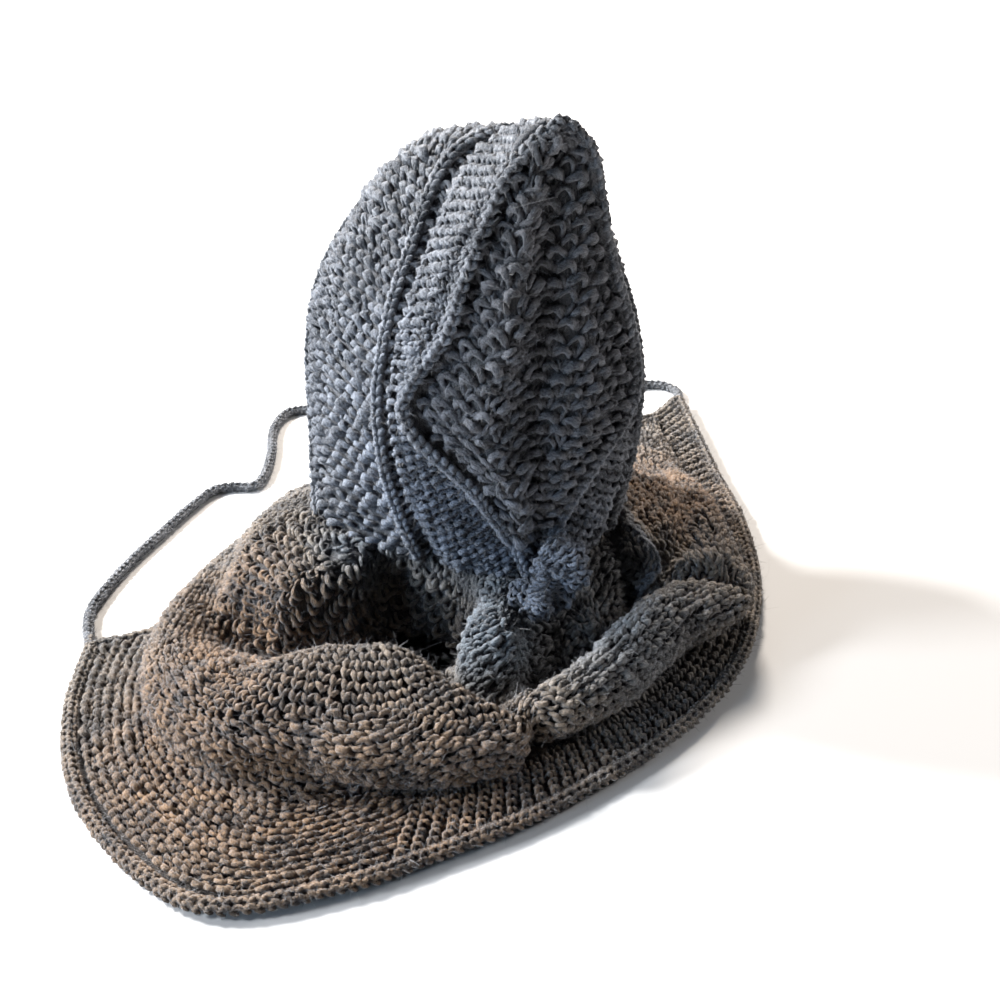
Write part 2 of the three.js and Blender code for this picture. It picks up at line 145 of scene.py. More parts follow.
def weights(count, position):
    """Share of each of count evenly spaced values at each position of a smooth flat-ended curve."""
    p = np.clip(np.asarray(position, float), 0, count - 1)
    flat = p.ravel()
    i = np.minimum(np.floor(flat).astype(int), count - 2)
    k = flat - i
    parts = (-k + 2 * k**2 - k**3, 2 - 5 * k**2 + 3 * k**3, k + 4 * k**2 - 3 * k**3, -(k**2) + k**3)
    w = np.zeros((len(flat), count))
    rows = np.arange(len(flat))
    for offset, part in enumerate(parts):
        np.add.at(w, (rows, np.clip(i + offset - 1, 0, count - 1)), part / 2)
    return w.reshape(*p.shape, count)


def run_length(points):
    """Distance along a line of points, at each of them."""
    return np.concatenate([[0], np.cumsum(np.linalg.norm(np.diff(points, axis=0), axis=1))])


def smooth(low, high, value):
    """Eases from 0 at low to 1 at high."""
    k = np.clip((value - low) / (high - low), 0, 1)
    return k * k * (3 - 2 * k)


def bell(value, middle, reach):
    """A rounded bump, 1 at its middle and about a third at its reach."""
    return np.exp(-(((value - middle) / reach) ** 2))


def hoop_side(hoop):
    """Points up one side of a hoop, and the share of its length at each."""
    bx, by, bz, wx, wy, wz, ty, tz, power, tuck, _ = hoop
    k = np.arange(60) / 60
    z = bz + (wz - bz) * k
    x = bx + (wx - bx) * np.sin(k**tuck * np.pi / 2)
    turn = np.linspace(0, np.pi / 2, 61)
    z = np.concatenate([z, wz + (tz - wz) * np.sin(turn) ** (2 / power)])
    x = np.concatenate([x, wx * np.maximum(np.cos(turn), 0) ** (2 / power)])
    low = (z - wz) * (z - tz) / ((bz - wz) * (bz - tz))
    middle = (z - bz) * (z - tz) / ((wz - bz) * (wz - tz))
    high = (z - bz) * (z - wz) / ((tz - bz) * (tz - wz))
    points = np.stack([x, by * low + wy * middle + ty * high, z], 1)
    lengths = run_length(points)
    return points, lengths / lengths[-1]


SIDES = [hoop_side(hoop) for hoop in HOOPS]


def hood_at(u, v):
    """Hood points for u (0 face edge to 4 leaf rim) and v (-1 left base, 0 crown, 1 right base)."""
    u, v = np.broadcast_arrays(np.asarray(u, float), np.asarray(v, float))
    share = 1 - np.abs(v)
    hoops = np.stack([
        np.stack([np.interp(share, lengths, side[:, c]) for c in range(3)], -1) for side, lengths in SIDES
    ])
    hoops[..., 0] *= np.where(v < 0, -1, 1)
    w = weights(len(HOOPS), u)
    points = np.einsum("...h,h...c->...c", w, hoops)
    h = (points[..., 2] - NECK_HEIGHT) / (PEAK_HEIGHT - NECK_HEIGHT)
    shift = w @ np.array([hoop[-1] for hoop in HOOPS])
    points[..., 0] += shift * (1 - h) * (1 - 2 * h) + SWAY * 4 * h * (1 - h) + LEAN * h * (2 * h - 1)
    crown = CROWN_RISE * bell(v, CROWN_AT, CROWN_REACH) * (1 - smooth(1.5, 3.5, u))
    waist = WAIST_DEPTH * bell(points[..., 2], WAIST_HEIGHT, WAIST_REACH)
    points[..., 0] -= 0.6 * crown + waist * smooth(0, 0.15, v) * smooth(1, 3.5, u)
    points[..., 2] += 0.8 * crown
    return points


def leaf_at(across, up):
    """Leaf points for the share across (-1 to 1) and the rim position up (0 tip to 1 peak)."""
    across, up = np.broadcast_arrays(np.asarray(across, float), np.asarray(up, float))
    v = -(RIM_TIP + (RIM_PEAK - RIM_TIP) * up)
    left, right = hood_at(4, v), hood_at(4, -v)
    share = np.clip((1 - GUSSET_START + v) / (1 - GUSSET_START - GUSSET_END), 0, 1)
    swell = GUSSET_BULGE * np.sin(np.pi * share**0.8).clip(0) ** 0.8
    x = (left[..., 0] + right[..., 0]) / 2 + (right[..., 0] - left[..., 0]) / 2 * across
    return np.stack([x, left[..., 1] - swell * (1 - across**2), left[..., 2]], -1)


def inset(v):
    """How far the wedge reaches past the leaf's rim, as a share of the leaf's half width."""
    down = np.abs(v)
    low = smooth(0.55, 0.74, down) * smooth(0, 0.17, 0.99 - down)
    high = smooth(0, 0.22, down) * smooth(0, 0.18, 0.54 - down)
    return np.where(v < 0, 0.28 * low + 0.24 * high, 0.20 * low)


def wedge_at(u, v):
    """Wedge points from the seam (u 2) to the leaf's ridge (u 4)."""
    u, v = np.broadcast_arrays(np.asarray(u, float), np.asarray(v, float))
    reach = (u / 2 - 1) * (1 + inset(v))
    up = (RIM_TIP - np.abs(v)) / (RIM_TIP - RIM_PEAK)
    past = leaf_at(np.sign(v) * (2 - np.maximum(reach, 1)), up)
    return np.where((reach > 1)[..., None], past, hood_at(2 + 2 * np.minimum(reach, 1), v))


def leaf_inside(across, up):
    """Leaf points between its ridges."""
    v = RIM_TIP - (RIM_TIP - RIM_PEAK) * up
    left, right = inset(-v) - 1, 1 - inset(v)
    return leaf_at(left + (right - left) * (across + 1) / 2, up)


def neckline_table():
    """Angle, radius and height along the hood's lower edge and the throat."""
    rows = []
    for side in (-1, 1):
        for x, y, z in hood_at(np.arange(0, 3.61, 0.2), side):
            rows.append((math.degrees(math.atan2(x, -y)), math.hypot(x, y), z))
        rows += [(side * angle, r, z) for angle, r, z in THROAT]
    return np.array(sorted(rows))


def cape_controls():
    """Points that the cape's surface follows, from neckline to hem for each row of CAPE."""
    table = neckline_table()
    controls = np.zeros((len(CAPE), HEM + 1, 3))
    for n, row in enumerate(CAPE):
        neck, hem = row[:2]
        r0 = np.interp(neck, table[:, 0], table[:, 1])
        z0 = np.interp(neck, table[:, 0], table[:, 2]) - NECK_GAP
        knots = [(r0, z0), *zip(row[2::2], row[3::2])]
        for k, (r, z) in enumerate(knots):
            angle = math.radians(neck + (hem - neck) * (1 - (1 - k / HEM) ** CAPE_TURN))
            controls[n, k] = r * math.sin(angle), -r * math.cos(angle), z
    return controls


CONTROLS = cape_controls()


def cape_at(u, t):
    """Cape points for u (0 left front to 15 right front) and t (0 neckline to 7 hem)."""
    u, t = np.broadcast_arrays(np.asarray(u, float), np.asarray(t, float))
    along = np.einsum("...j,ijc->...ic", weights(HEM + 1, t), CONTROLS)
    return np.einsum("...i,...ic->...c", weights(len(CAPE), u), along)


def unit(vectors):
    """Vectors brought to length 1."""
    return vectors / np.maximum(np.linalg.norm(vectors, axis=-1, keepdims=True), 1e-9)


def travelled(grid, axis, origin):
    """Distance along an axis of a grid, counted from one of its lines."""
    steps = np.linalg.norm(np.diff(grid, axis=axis), axis=2)
    zero = np.zeros_like(np.take(steps, [0], axis))
    lengths = np.concatenate([zero, np.cumsum(steps, axis)], axis)
    return lengths - np.take(lengths, [origin], axis)


CHANCE = rng.uniform(-1, 1, (8, 256, 256))


def chance(kind, i, j):
    """A fixed random value from -1 to 1 for a column and a row."""
    return CHANCE[kind, i & 255, j & 255]


def plait(x, y):
    """Knit side: columns of V stitches."""
    column = x - np.floor(x) - 0.5
    i = np.floor(x).astype(int)
    arm = np.abs(column)
    phase = y + 1.1 * arm + 0.05 * chance(0, i, np.floor(y).astype(int))
    bead = np.abs(np.cos(np.pi * phase)) ** 0.7
    edge = np.sqrt(np.maximum(1 - ((arm - 0.25) / 0.27) ** 2, 0))
    return edge * (0.45 + 0.55 * bead)


def waviness(points, size, amount, seed):
    """Slow uneven swelling of a surface."""
    local = np.random.default_rng(seed)
    total = np.zeros(points.shape[:-1])
    for _ in range(7):
        direction = local.normal(size=3)
        direction /= np.linalg.norm(direction)
        pitch = size * local.uniform(0.6, 1.6)
        total += np.sin(points @ direction * 2 * np.pi / pitch + local.uniform(0, 6.3))
    return amount * total / 3


# Places for stitches


class Cells:
    """Places of stitches: point, across, up, outward, tall, column, row, and position a, b."""

    def __init__(self, **arrays):
        self.__dict__.update(arrays)

    def only(self, keep):
        """The cells where keep is true."""
        return Cells(**{label: values[keep] for label, values in self.__dict__.items()})


class Cloth:
    """A surface over two parameters, raised by a lift, with rows of stitches laid out on it."""

    def __init__(self, at, a, b, a_zero, b_zero, side=1, tilt=None, lift=None):
        self.flat_at, self.a, self.b, self.side, self.lift = at, a, b, side, lift
        self.a_zero = a_zero
        grid = self.points(a[:, None], b[None, :])
        self.y = travelled(grid, 1, int(np.argmin(abs(b - b_zero))))
        if tilt:
            slope = tilt * np.tanh(b / 0.6) * travelled(grid, 0, int(np.argmin(abs(a - a_zero))))
            self.y = self.y.mean(0) + slope

    def slopes(self, surface, a, b):
        """Directions along b and outward."""
        step_a, step_b = (self.a[-1] - self.a[0]) / 900, (self.b[-1] - self.b[0]) / 900
        a_low, a_high = np.maximum(a - step_a, self.a[0]), np.minimum(a + step_a, self.a[-1])
        b_low, b_high = np.maximum(b - step_b, self.b[0]), np.minimum(b + step_b, self.b[-1])
        over_a = unit(surface(a_high, b) - surface(a_low, b))
        over_b = unit(surface(a, b_high) - surface(a, b_low))
        return over_b, unit(np.cross(over_a, over_b)) * self.side

    def points(self, a, b):
        """Points of the raised surface."""
        points = self.flat_at(a, b)
        if self.lift:
            points = points + self.slopes(self.flat_at, a, b)[1] * self.lift(a, b, points)[..., None]
        return points

    def at(self, a, b):
        """Points and outward directions."""
        return self.points(a, b), self.slopes(self.points, a, b)[1]

    def cells(self, found):
        """Cells from rows of column, row, and positions at, before and after each stitch."""
        column, row, a, b, a0, b0, a1, b1 = np.concatenate(found, 1)
        point = self.points(a, b)
        over_b, outward = self.slopes(self.points, a, b)
        across = unit(self.points(a1, b1) - self.points(a0, b0))
        outward = unit(outward - across * (outward * across).sum(1)[:, None])
        up = np.cross(outward, across)
        up *= np.sign((up * over_b).sum(1))[:, None]
        tall = np.clip((up * over_b).sum(1), 0.6, 1)
        return Cells(point=point, across=across, up=up, outward=outward, tall=tall,
                     column=column.astype(int), row=row.astype(int), a=a, b=b)

    def rows(self, width, height, even=False):
        """Stitches along rows, spaced evenly in each row or counted from one line of the surface."""
        levels = np.arange(math.floor(self.y.min() / height), math.ceil(self.y.max() / height))
        wanted = (levels + 0.5) * height
        on = np.stack([np.interp(wanted, line, self.b, left=np.nan, right=np.nan) for line in self.y])
        found = []
        for k, level in enumerate(levels):
            valid = np.flatnonzero(~np.isnan(on[:, k]))
            for run in np.split(valid, np.flatnonzero(np.diff(valid) > 1) + 1):
                if len(run) < 3:
                    continue
                a, b = self.a[run], on[run, k]
                s = run_length(self.points(a, b))
                if even:
                    count = max(round(s[-1] / width), 1)
                    column = np.arange(count)
                    places = (column + (0.75 if level % 2 else 0.25)) * s[-1] / count
                else:
                    s = s - np.interp(self.a_zero, a, s)
                    column = np.arange(math.ceil(s[0] / width), math.floor(s[-1] / width))
                    places = (column + 0.5) * width
                line = [column, np.full(len(column), level)]
                for shift in (0, -1.2, 1.2):
                    at_a = np.interp(places + shift, s, a)
                    line += [at_a, np.interp(at_a, a, b)]
                found.append(np.array(line, float))
        return self.cells(found)

    def columns(self, places, height, b_from, b_to):
        """Stitches along columns that each keep one a."""
        found = []
        for column, place in enumerate(places):
            line = np.array([np.interp(place, self.a, self.y[:, k]) for k in range(len(self.b))])
            low, high = np.interp([b_from, b_to], self.b, line)
            level = np.arange(math.ceil(low / height), math.floor(high / height))
            b = np.interp((level + 0.5) * height, line, self.b)
            step = (self.a[-1] - self.a[0]) / 900
            a = np.full(len(b), place)
            found.append(np.array([np.full(len(b), column), level, a, b, a - step, b, a + step, b]))
        return self.cells(found)


# Yarn

# Centre line of a strand: across, up, off the surface, thickness, each as a share of its size
LOOP = np.array([
    (-1.00, -0.70, -0.60, 0.55), (-0.66, 0.02, 0.50, 0.95), (-0.24, 0.42, 1.00, 1.05),
    (0.24, 0.42, 1.00, 1.05), (0.66, 0.02, 0.50, 0.95), (1.00, -0.70, -0.60, 0.55),
])
LEG = np.array([
    (0.04, -0.66, -0.50, 0.65), (0.16, -0.24, 0.80, 1.00),
    (0.34, 0.26, 1.00, 1.02), (0.50, 0.70, -0.40, 0.65),
])
FIBRE_ROOTS = []  # points, outward directions, chance at each point and share of fibres of each piece


class Yarn:
    """Strands of yarn that make one mesh."""

    def __init__(self):
        self.points, self.quads, self.uv, self.relief, self.out = [], [], [], [], []
        self.total = 0

    def add(self, cells, shape, width, height, lift, radius, x=0.0, y=0.0, flip_x=1, flip_y=1, sink=0.0,
            loose=0.07):
        """One strand at each cell; width and height are half sizes, x and y its place in the cell."""
        count, knots = len(cells.point), len(shape)
        if not count:
            return
        vary = rng.normal(0, loose, (5, count, 1))
        tall = cells.tall[:, None]
        grown = 1 + vary[0]
        lx = (shape[:, 0] * flip_x * width) * grown + x + vary[1] * width
        ly = (shape[:, 1] * flip_y * height) * grown * tall + (y + vary[2] * height) * tall
        lx, ly = lx + 1.6 * vary[3] * ly, ly - 1.6 * vary[3] * lx
        lz = shape[:, 2] * lift * (1 + 2 * vary[4]) - sink
        uneven = 1 + rng.normal(0, 0.11, (count, knots))
        thick = shape[:, 3] * radius * (0.4 + 0.6 * tall) * (1 + 1.4 * vary[4]) * uneven
        path = (cells.point[:, None] + lx[..., None] * cells.across[:, None]
                + ly[..., None] * cells.up[:, None] + lz[..., None] * cells.outward[:, None])
        along = unit(np.gradient(path, axis=1))
        side = unit(np.cross(along, cells.outward[:, None]))
        top = np.cross(side, along)
        turn = 2 * np.pi * np.arange(ROUND) / ROUND
        ring = np.cos(turn)[:, None] * side[:, :, None] + np.sin(turn)[:, None] * top[:, :, None]
        points = path[:, :, None] + ring * thick[:, :, None, None]
        depth = (lz[:, :, None] + sink + thick[:, :, None] * np.sin(turn)) / (lift + radius)
        lengths = np.arange(knots) * width * 0.5
        offset = rng.uniform(0, 60, (count, 1, 1))
        uv = np.stack(np.broadcast_arrays(lengths[:, None] + offset, turn * radius + offset), -1)
        at = np.arange(count * knots * ROUND).reshape(count, knots, ROUND) + self.total
        right = np.roll(at, -1, axis=2)
        quads = np.stack([at[:, :-1], right[:, :-1], right[:, 1:], at[:, 1:]], -1)
        self.points.append(points.reshape(-1, 3))
        self.quads.append(quads.reshape(-1, 4))
        self.uv.append(uv.reshape(-1, 2))
        # Relief: 0 deep in the stitch, 1 on its top; the wool darkens the low parts as painted shade
        self.relief.append(np.clip(0.5 + 0.5 * depth, 0, 1).ravel())
        self.out.append(ring.reshape(-1, 3))
        self.total += count * knots * ROUND

    def purl(self, cells, width, height, radius, lift):
        """Purl side: loops that open down and up in turn."""
        self.add(cells, LOOP, 0.58 * width, 0.34 * height, lift, radius, y=0.25 * height, loose=0.12)
        self.add(cells, LOOP, 0.56 * width, 0.32 * height, lift * 0.9, radius, x=0.5 * width,
                 y=-0.25 * height, flip_y=-1, loose=0.12)

    def garter(self, cells, width, height, radius, lift):
        """Garter ridge: a row of bumps with small sunk loops in the groove below."""
        self.add(cells, LOOP, 0.60 * width, 0.46 * height, lift, radius, loose=0.1)
        self.add(cells, LOOP, 0.50 * width, 0.24 * height, lift * 0.5, radius * 0.75, x=0.5 * width,
                 y=-0.42 * height, flip_y=-1, sink=0.8, loose=0.1)

    def knit(self, cells, width, height, radius, lift, sink=0.0):
        """Knit side: V stitches."""
        for flip in (-1, 1):
            self.add(cells, LEG, width, 0.5 * height, lift, radius, flip_x=flip, sink=sink, loose=0.05)

    def seed(self, cells, width, height, radius, lift, open_share):
        """Seed stitch: a raised bump in every second cell, a sunk V or a hole in the others."""
        bump = (cells.column + cells.row) % 2 == 0
        closed = (chance(1, cells.column, cells.row) + 1) / 2 > open_share
        self.add(cells.only(bump), LOOP, 0.60 * width, 0.62 * height, lift, radius * 1.15, loose=0.13)
        self.knit(cells.only(~bump & closed), 0.90 * width, 1.20 * height, radius * 0.8, lift=0.8, sink=1.4)

    def make(self, name, look, nodes, fuzz=1.0):
        """The strands as one piece; fuzz is its share of the stray fibres."""
        points = np.concatenate(self.points)
        relief = np.concatenate(self.relief)
        points[:, 2] = np.maximum(points[:, 2], REST)
        FIBRE_ROOTS.append((points, np.concatenate(self.out), relief**3, fuzz))
        return build(name, points, np.concatenate(self.quads), np.concatenate(self.uv), relief, look, nodes)


# Meshes

NO_TRIANGLES = np.zeros((0, 3), int)


def build(name, points, quads, stitch_uv, relief, look, nodes, triangles=NO_TRIANGLES):
    """One mesh piece from points, standing for CAD nodes. Its look is a material and a slot; only the
    material is used.
    """
    mesh = bpy.data.meshes.new(name)
    mesh.vertices.add(len(points))
    mesh.vertices.foreach_set("co", place(points).astype(np.float32).ravel())
    loops = np.concatenate([quads.ravel(), triangles.ravel()]).astype(np.int32)
    sizes = np.concatenate([np.full(len(quads), 4), np.full(len(triangles), 3)])
    starts = np.concatenate([[0], np.cumsum(sizes)[:-1]]).astype(np.int32)
    mesh.loops.add(len(loops))
    mesh.loops.foreach_set("vertex_index", loops)
    mesh.polygons.add(len(sizes))
    mesh.polygons.foreach_set("loop_start", starts)
    mesh.polygons.foreach_set("use_smooth", np.ones(len(sizes), bool))
    mesh.update(calc_edges=True)
    layer = mesh.uv_layers.new(name="stitches")
    layer.data.foreach_set("uv", (stitch_uv[loops] / 100).astype(np.float32).ravel())
    for label, values in (("relief", relief), ("painted_light_tint", painted_light_colour_at(points))):
        attribute = mesh.attributes.new(label, "FLOAT", "POINT")
        attribute.data.foreach_set("value", values.astype(np.float32))
    mesh.validate()
    mesh.materials.append(look[0])
    piece = bpy.data.objects.new(name, mesh)
    bpy.context.scene.collection.objects.link(piece)
    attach(piece, "root")
    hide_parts(*nodes)
    return piece


# Painted light: places where warm lamp light and cool sky light are painted into the wool's colour; x, y, z,
# reach, painted_light_tint (1 painted warm light, -1 painted cool light)
PAINTED_LIGHT_SPOTS = (
    (-190, -20, 50, 50, 0.9), (-150, -60, 30, 40, 0.9),
    (-215, -110, 20, 60, 1.0), (-250, -190, 20, 90, 0.9),
    (-140, -250, 10, 90, 0.8), (-60, -225, 20, 60, 0.5),
    (-100, -90, 10, 40, 0.6), (120, -10, 60, 55, 1.0),
    (150, 60, 40, 70, 0.8), (-48, -138, 45, 30, -1.3),
    (-20, -115, 65, 26, -1.0), (-60, -80, 110, 60, -0.8),
    (-116, -26, 62, 24, -1.0), (20, -110, 90, 45, -0.6),
    (75, -75, 55, 22, -0.8), (20, -170, 55, 45, -0.5),
    (60, -150, 50, 40, -0.5), (-110, 0, 150, 110, -0.35),
    (-50, -100, 210, 90, -0.35),
)


def painted_light_colour_at(points):
    """How much painted warm light (1) or painted cool light (-1) the wool's colour takes at each point."""
    total = np.zeros(points.shape[:-1])
    for x, y, z, reach, amount in PAINTED_LIGHT_SPOTS:
        distance = np.linalg.norm(points - np.array([x, y, z]), axis=-1)
        total += amount * bell(distance, 0, reach)
    return np.clip(total, -1, 1)


def grid_quads(rows, columns):
    """Faces between the points of a grid."""
    at = np.arange(rows * columns).reshape(rows, columns)
    return np.stack([at[:-1, :-1], at[1:, :-1], at[1:, 1:], at[:-1, 1:]], 2).reshape(-1, 4)


def smooth_piece(name, grid, look, nodes, flip=False):
    """A surface over a grid of points, without stitches."""
    points = grid.reshape(-1, 3)
    quads = grid_quads(*grid.shape[:2])
    if flip:
        quads = quads[:, [0, 3, 2, 1]]
    # Relief 0 all over: the wool gives these surfaces its darkest painted shade
    return build(name, points, quads, points[:, :2], np.zeros(len(points)), look, nodes)


def wall(name, cloth, a, b, look, nodes, sink=1.6):
    """Plain closed wall behind the strands: the sheet of cloth that carries them."""
    a, b = np.meshgrid(a, b, indexing="ij")
    points, outward = cloth.at(a, b)
    thickness = np.full(a.shape, WALL)
    thickness[[0, -1]] = thickness[:, [0, -1]] = WALL_EDGE
    outer = points - outward * sink
    inner = outer - outward * thickness[..., None]
    count = a.size
    at = np.arange(count).reshape(a.shape)
    edge = np.concatenate([at[:-1, 0], at[-1, :-1], at[:0:-1, -1], at[0, :0:-1]])
    after = np.roll(edge, -1)
    face = grid_quads(*a.shape)
    quads = np.concatenate([
        face, face[:, ::-1] + count, np.stack([edge, edge + count, after + count, after], 1),
    ])
    if cloth.side < 0:
        quads = quads[:, ::-1]
    both = np.concatenate([outer.reshape(-1, 3), inner.reshape(-1, 3)])
    both[:, 2] = np.maximum(both[:, 2], REST)
    # Relief 0 on the outer face, 0.5 on the inner: the wool darkens the outer face as painted shade in the
    # gaps between strands
    relief = np.concatenate([np.zeros(count), np.full(count, 0.5)])
    piece = build(name, both, quads, both[:, :2], relief, look, nodes)


def tube(name, line, radius, look, nodes, columns=5, pitch=5.4, depth=0.3, sides=10):
    """Round knitted core along a fine line, with columns of V stitches as deep as depth."""
    along = unit(np.gradient(line, axis=0))
    side = np.zeros_like(line)
    current = np.array([0.3, 0.5, 0.8])
    for n in range(len(line)):
        current = current - along[n] * (current @ along[n])
        current /= np.linalg.norm(current)
        side[n] = current
    out = np.cross(along, side)
    turn = np.linspace(0, 2 * np.pi, sides + 1)[:-1]
    x = np.broadcast_to(turn[None, :] / (2 * np.pi) * columns, (len(line), sides))
    y = np.broadcast_to(run_length(line)[:, None] / pitch, x.shape)
    field = plait(x, y)
    wobble = waviness(line, 30, 0.35, 7)[:, None]
    r = radius - depth + depth * field + wobble * radius / 6
    ring = side[:, None] * np.cos(turn)[None, :, None] + out[:, None] * np.sin(turn)[None, :, None]
    points = line[:, None] + ring * r[:, :, None]
    at = np.arange(len(line) * sides).reshape(len(line), sides)
    right = np.roll(at, -1, axis=1)
    quads = np.stack([at[:-1], right[:-1], right[1:], at[1:]], 2).reshape(-1, 4)
    first, last = len(line) * sides, len(line) * sides + 1
    caps = [(first, right[0, k], at[0, k]) for k in range(sides)]
    caps += [(last, at[-1, k], right[-1, k]) for k in range(sides)]
    flat = np.concatenate([points.reshape(-1, 3), line[:1], line[-1:]])
    uv = np.stack([x * radius * 6.3 / columns, y * pitch], 2).reshape(-1, 2)
    uv = np.concatenate([uv, uv[:1], uv[-1:]])
    # The plait's relief, low between the stitch columns, where the wool darkens it as painted shade
    relief = np.concatenate([field.ravel(), [0.5, 0.5]])
    FIBRE_ROOTS.append((points.reshape(-1, 3), ring.reshape(-1, 3), field.ravel(), 0.8))
    return build(name, flat, quads, uv, relief, look, nodes, triangles=np.array(caps))


def resample(points, pitch):
    """A polyline as points at an even pitch."""
    points = np.asarray(points, float)
    lengths = run_length(points)
    wanted = np.linspace(0, lengths[-1], max(int(lengths[-1] / pitch), 2) + 1)
    return np.stack([np.interp(wanted, lengths, points[:, c]) for c in range(3)], 1)


def chain(yarn, line, outward, angles, offset, pitch, width, radius):
    """Columns of V stitches along a line, at angles round it from the outward direction."""
    along = unit(np.gradient(line, axis=0))
    outward = unit(outward - along * (outward * along).sum(1)[:, None])
    side = np.cross(along, outward)
    s = run_length(line)
    for n, angle in enumerate(angles):
        places = np.arange(0.5 * pitch * (n % 2) + pitch / 2, s[-1] - pitch / 2, pitch)
        pick = [np.stack([np.interp(places, s, values[:, c]) for c in range(3)], 1)
                for values in (line, along, outward, side)]
        middle, up, out, across = pick
        turned = unit(out * math.cos(angle) + across * math.sin(angle))
        count = len(places)
        cells = Cells(point=middle + turned * offset, across=np.cross(up, turned), up=up, outward=turned,
                      tall=np.ones(count), column=np.zeros(count, int), row=np.arange(count))
        yarn.knit(cells, width, pitch * 1.15, radius, lift=0.9)


# Wool

# Colours of painted light multiplied into the wool: warm lamp light, cool sky light, and cool sky light on
# the cape's wool
PAINTED_WARM_LIGHT, PAINTED_COOL_LIGHT, CAPE_PAINTED_COOL_LIGHT = (1.0, 0.71, 0.45), (0.80, 0.97, 1.24), (0.66, 0.96, 1.45)


def set_inputs(made, **inputs):
    """Sets inputs of a shader node; an underscore stands for a space in a name."""
    for label, value in inputs.items():
        made.inputs[label.replace("_", " ")].default_value = value


def new_material(name):
    """A material, its node tree and its shader."""
    material = bpy.data.materials.new(name)
    material.use_nodes = True
    return material, material.node_tree, material.node_tree.nodes["Principled BSDF"]


def plain_material(name, colour, roughness):
    """One colour, without texture."""
    material, _, shader = new_material(name)
    set_inputs(shader, Base_Color=(*colour, 1), Roughness=roughness)
    return material


def wool(name, slot, dark, light, cool_light_paint):
    """Heathered wool: yarn plies and fuzz as bump, painted shade between the loops, and painted warm and
    cool light by place.
    """
    material, tree, shader = new_material(name)
    link = tree.links.new

    def node(kind, **inputs):
        made = tree.nodes.new("ShaderNode" + kind)
        set_inputs(made, **inputs)
        return made

    position = node("TexCoord").outputs["Object"]

    def noise(scale, detail, roughness):
        made = node("TexNoise", Scale=scale, Detail=detail, Roughness=roughness)
        link(position, made.inputs["Vector"])
        return made.outputs["Fac"]

    def attribute(label):
        made = node("Attribute")
        made.attribute_name = label
        return made.outputs["Fac"]

    def scaled(operation, value, factor):
        made = node("Math")
        made.operation = operation
        made.inputs[1].default_value = factor
        link(value, made.inputs[0])
        return made

    def ranged(value, **ends):
        made = node("MapRange", **ends)
        link(value, made.inputs["Value"])
        return made.outputs["Result"]

    def multiplied(colour):
        made = node("Mix")
        made.data_type = "RGBA"
        made.blend_type = "MULTIPLY"
        link(colour, made.inputs["A"])
        return made

    def toward(colour, other, end):
        """A colour multiplied by a painted light colour where the painted_light_tint nears its end."""
        blend = multiplied(colour)
        link(ranged(painted_light_tint, From_Min=0.0, From_Max=end), blend.inputs["Factor"])
        set_inputs(blend, B=(*other, 1))
        return blend.outputs["Result"]

    def bump(height, strength, distance):
        made = node("Bump", Strength=strength, Distance=distance)
        link(height, made.inputs["Height"])
        return made

    heather = scaled("MULTIPLY", noise(scale=55.0, detail=4.0, roughness=0.6), 0.38)
    fleck = scaled("MULTIPLY_ADD", noise(scale=640.0, detail=6.0, roughness=0.85), 0.62)
    link(heather.outputs[0], fleck.inputs[2])
    ramp = node("ValToRGB")
    for stop, at, colour in zip(ramp.color_ramp.elements, (0.44, 0.57), (dark, light)):
        stop.position = at
        stop.color = (*colour, 1)
    link(fleck.outputs[0], ramp.inputs["Fac"])

    # Painted light: warm and cool light colours multiplied in by each place's painted_light_tint
    painted_light_tint = attribute("painted_light_tint")
    shade = multiplied(toward(toward(ramp.outputs["Color"], PAINTED_WARM_LIGHT, 1.0), cool_light_paint, -1.0))
    set_inputs(shade, Factor=1.0)
    # Painted shade: the colour falls to 0.16 of itself where the relief is low, between loops and on the
    # walls behind them
    depth = ranged(attribute("relief"), From_Min=0.0, From_Max=0.75, To_Min=0.16, To_Max=1.0)
    link(depth, shade.inputs["B"])
    link(shade.outputs["Result"], shader.inputs["Base Color"])

    stitches = node("UVMap")
    stitches.uv_map = "stitches"
    ply = node("TexWave", Scale=26.0, Distortion=5.0, Detail=3.0, Detail_Scale=2.2)
    ply.bands_direction = "DIAGONAL"
    link(stitches.outputs["UV"], ply.inputs["Vector"])
    fuzz = bump(noise(scale=900.0, detail=8.0, roughness=0.8), strength=1.0, distance=0.0020)
    plies = bump(ply.outputs["Fac"], strength=0.6, distance=0.0006)
    link(fuzz.outputs["Normal"], plies.inputs["Normal"])
    link(plies.outputs["Normal"], shader.inputs["Normal"])
    set_inputs(shader, Roughness=0.95, Specular_IOR_Level=0.15, Sheen_Weight=0.45, Sheen_Roughness=0.5,
               Sheen_Tint=(0.75, 0.78, 0.85, 1))
    return material, slot


MAIN = wool("charcoal_wool", "wool", (0.024, 0.026, 0.029), (0.215, 0.221, 0.236), PAINTED_COOL_LIGHT)
# Painted shade: the back leaf's wool is a darker copy of the same wool, for the hood's back turned from the
# light
SHADE_PAINTED_WOOL = wool("charcoal_wool_painted_shade", "wool_deep", (0.012, 0.012, 0.013), (0.135, 0.134, 0.142), PAINTED_COOL_LIGHT)
# Painted warm light: the cape's wool is a warmer, lighter copy of the same wool, where warm lamp light falls
WARM_LIGHT_PAINTED_WOOL = wool("charcoal_wool_painted_warm_light", "wool_warm", (0.030, 0.025, 0.019), (0.240, 0.198, 0.153), CAPE_PAINTED_COOL_LIGHT)
EDGE = WARM_LIGHT_PAINTED_WOOL[0], "wool"

# Ties: knitted cords lying on the surface


